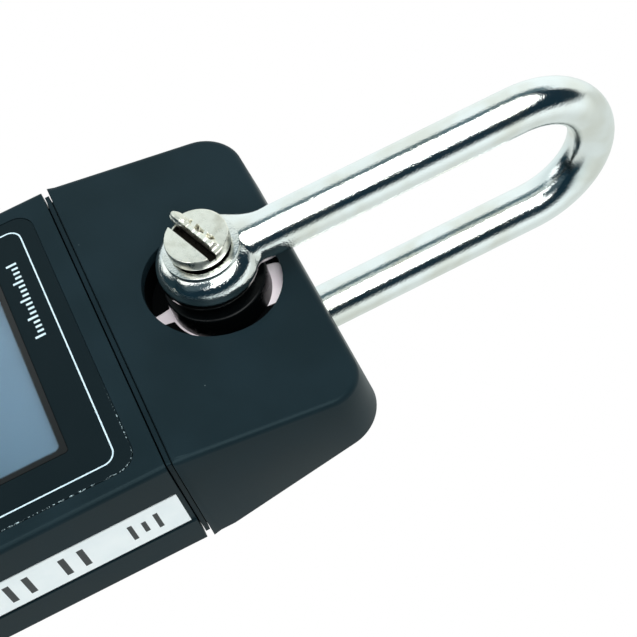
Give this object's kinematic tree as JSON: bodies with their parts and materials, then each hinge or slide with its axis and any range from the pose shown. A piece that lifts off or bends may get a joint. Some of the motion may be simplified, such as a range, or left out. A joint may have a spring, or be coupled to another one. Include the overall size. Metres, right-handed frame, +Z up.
{
  "type": "digital fish scale",
  "caption": "Hanging digital fish scale: screw-pin shackle on a wedge-ended housing with LCD and keys, load cell, and a swivel hook with spring latch.",
  "frame": {"origin": "inner crown of the top shackle's bow, where the scale is hung", "axes": "+Z up along the load line, the display faces -Y, and +X is to the right of a person facing the display"},
  "size_m": [0.0606, 0.0395, 0.3058],
  "materials": {
    "housing_abs": "fine spark-eroded matte, blue-black",
    "overlay_film": "satin printed polyester",
    "window_acrylic": "clear gloss",
    "lcd_glass": "grey-blue LCD, switched off",
    "light_guide": "white acrylic",
    "circuit_board": "green solder mask",
    "key_rubber": "moulded silicone",
    "switch_black": "moulded",
    "stainless_polished": "tumble-polished forged stainless",
    "pin_nickel": "turned and nickel plated",
    "latch_steel": "pressed stainless sheet",
    "cell_aluminium": "machined, lightly anodised",
    "bush_nylon": "black nylon",
    "silicone_white": "potting",
    "lead_pvc": "PVC insulation",
    "battery_wrap": "printed sleeve, plain",
    "contact_nickel": "nickel-plated spring steel",
    "screw_zinc": "black zinc",
    "label_tape": "laminated white tape",
    "plate_silver": "silver foil",
    "washer_bronze": "sintered bronze"
  },
  "bodies": {
    "shackle": {"top_shackle": "stainless_polished", "top_pin": "pin_nickel"},
    "scale_body": {"top_end_cap": "housing_abs", "bottom_end_cap": "housing_abs", "front_shell": "housing_abs", "rear_shell": "housing_abs", "display_overlay": "overlay_film", "display_lens": "window_acrylic", "lcd_cell": "lcd_glass", "lcd_backlight": "light_guide", "main_board": "circuit_board", "key_switches": "switch_black", "board_screws": "contact_nickel", "load_cell": "cell_aluminium", "pin_bushes": "bush_nylon", "gauge_potting": "silicone_white", "sensor_lead": "lead_pvc", "battery_trays": "housing_abs", "battery_cells": "battery_wrap", "battery_springs": "contact_nickel", "case_screws": "screw_zinc", "side_label": "label_tape", "rating_plate": "plate_silver"},
    "left_key": {"left_button": "key_rubber"},
    "middle_key": {"middle_button": "key_rubber"},
    "right_key": {"right_button": "key_rubber"},
    "bay_cover": {"battery_cover": "housing_abs"},
    "yoke": {"lower_yoke": "stainless_polished", "lower_pin": "pin_nickel", "thrust_washer": "washer_bronze"},
    "swivel_hook": {"hook": "stainless_polished", "hook_nut": "stainless_polished", "split_pin": "contact_nickel", "latch_rivet": "contact_nickel", "latch_spring": "contact_nickel"},
    "hook_latch": {"latch": "latch_steel"}
  },
  "joints": [
    {"name": "body_swing", "type": "hinge", "parent": "shackle", "child": "scale_body", "pos_m": [0, 0, -0.06495], "axis": [0, 1, 0], "range_deg": [-65, 65]},
    {"name": "yoke_swing", "type": "hinge", "parent": "scale_body", "child": "yoke", "pos_m": [0, 0, -0.17915], "axis": [0, 1, 0], "range_deg": [-57, 57]},
    {"name": "hook_swivel", "type": "hinge", "parent": "yoke", "child": "swivel_hook", "pos_m": [0, 0, -0.22465], "axis": [0, 0, 1], "continuous": true},
    {"name": "latch_hinge", "type": "hinge", "parent": "swivel_hook", "child": "hook_latch", "pos_m": [-0.0066, 0, -0.24652], "axis": [0, -1, 0], "range_deg": [0, 33], "stiffness_Nm_per_rad": 0.02, "springref_deg": -34.38},
    {"name": "left_key_press", "type": "slide", "parent": "scale_body", "child": "left_key", "axis": [0, 1, 0], "range_m": [0, 0.0005], "stiffness_N_per_m": 1500},
    {"name": "middle_key_press", "type": "slide", "parent": "scale_body", "child": "middle_key", "axis": [0, 1, 0], "range_m": [0, 0.0005], "stiffness_N_per_m": 1500},
    {"name": "right_key_press", "type": "slide", "parent": "scale_body", "child": "right_key", "axis": [0, 1, 0], "range_m": [0, 0.0005], "stiffness_N_per_m": 1500},
    {"name": "cover_lift", "type": "slide", "parent": "scale_body", "child": "bay_cover", "axis": [0, 1, 0], "range_m": [0, 0.012]}
  ]
}
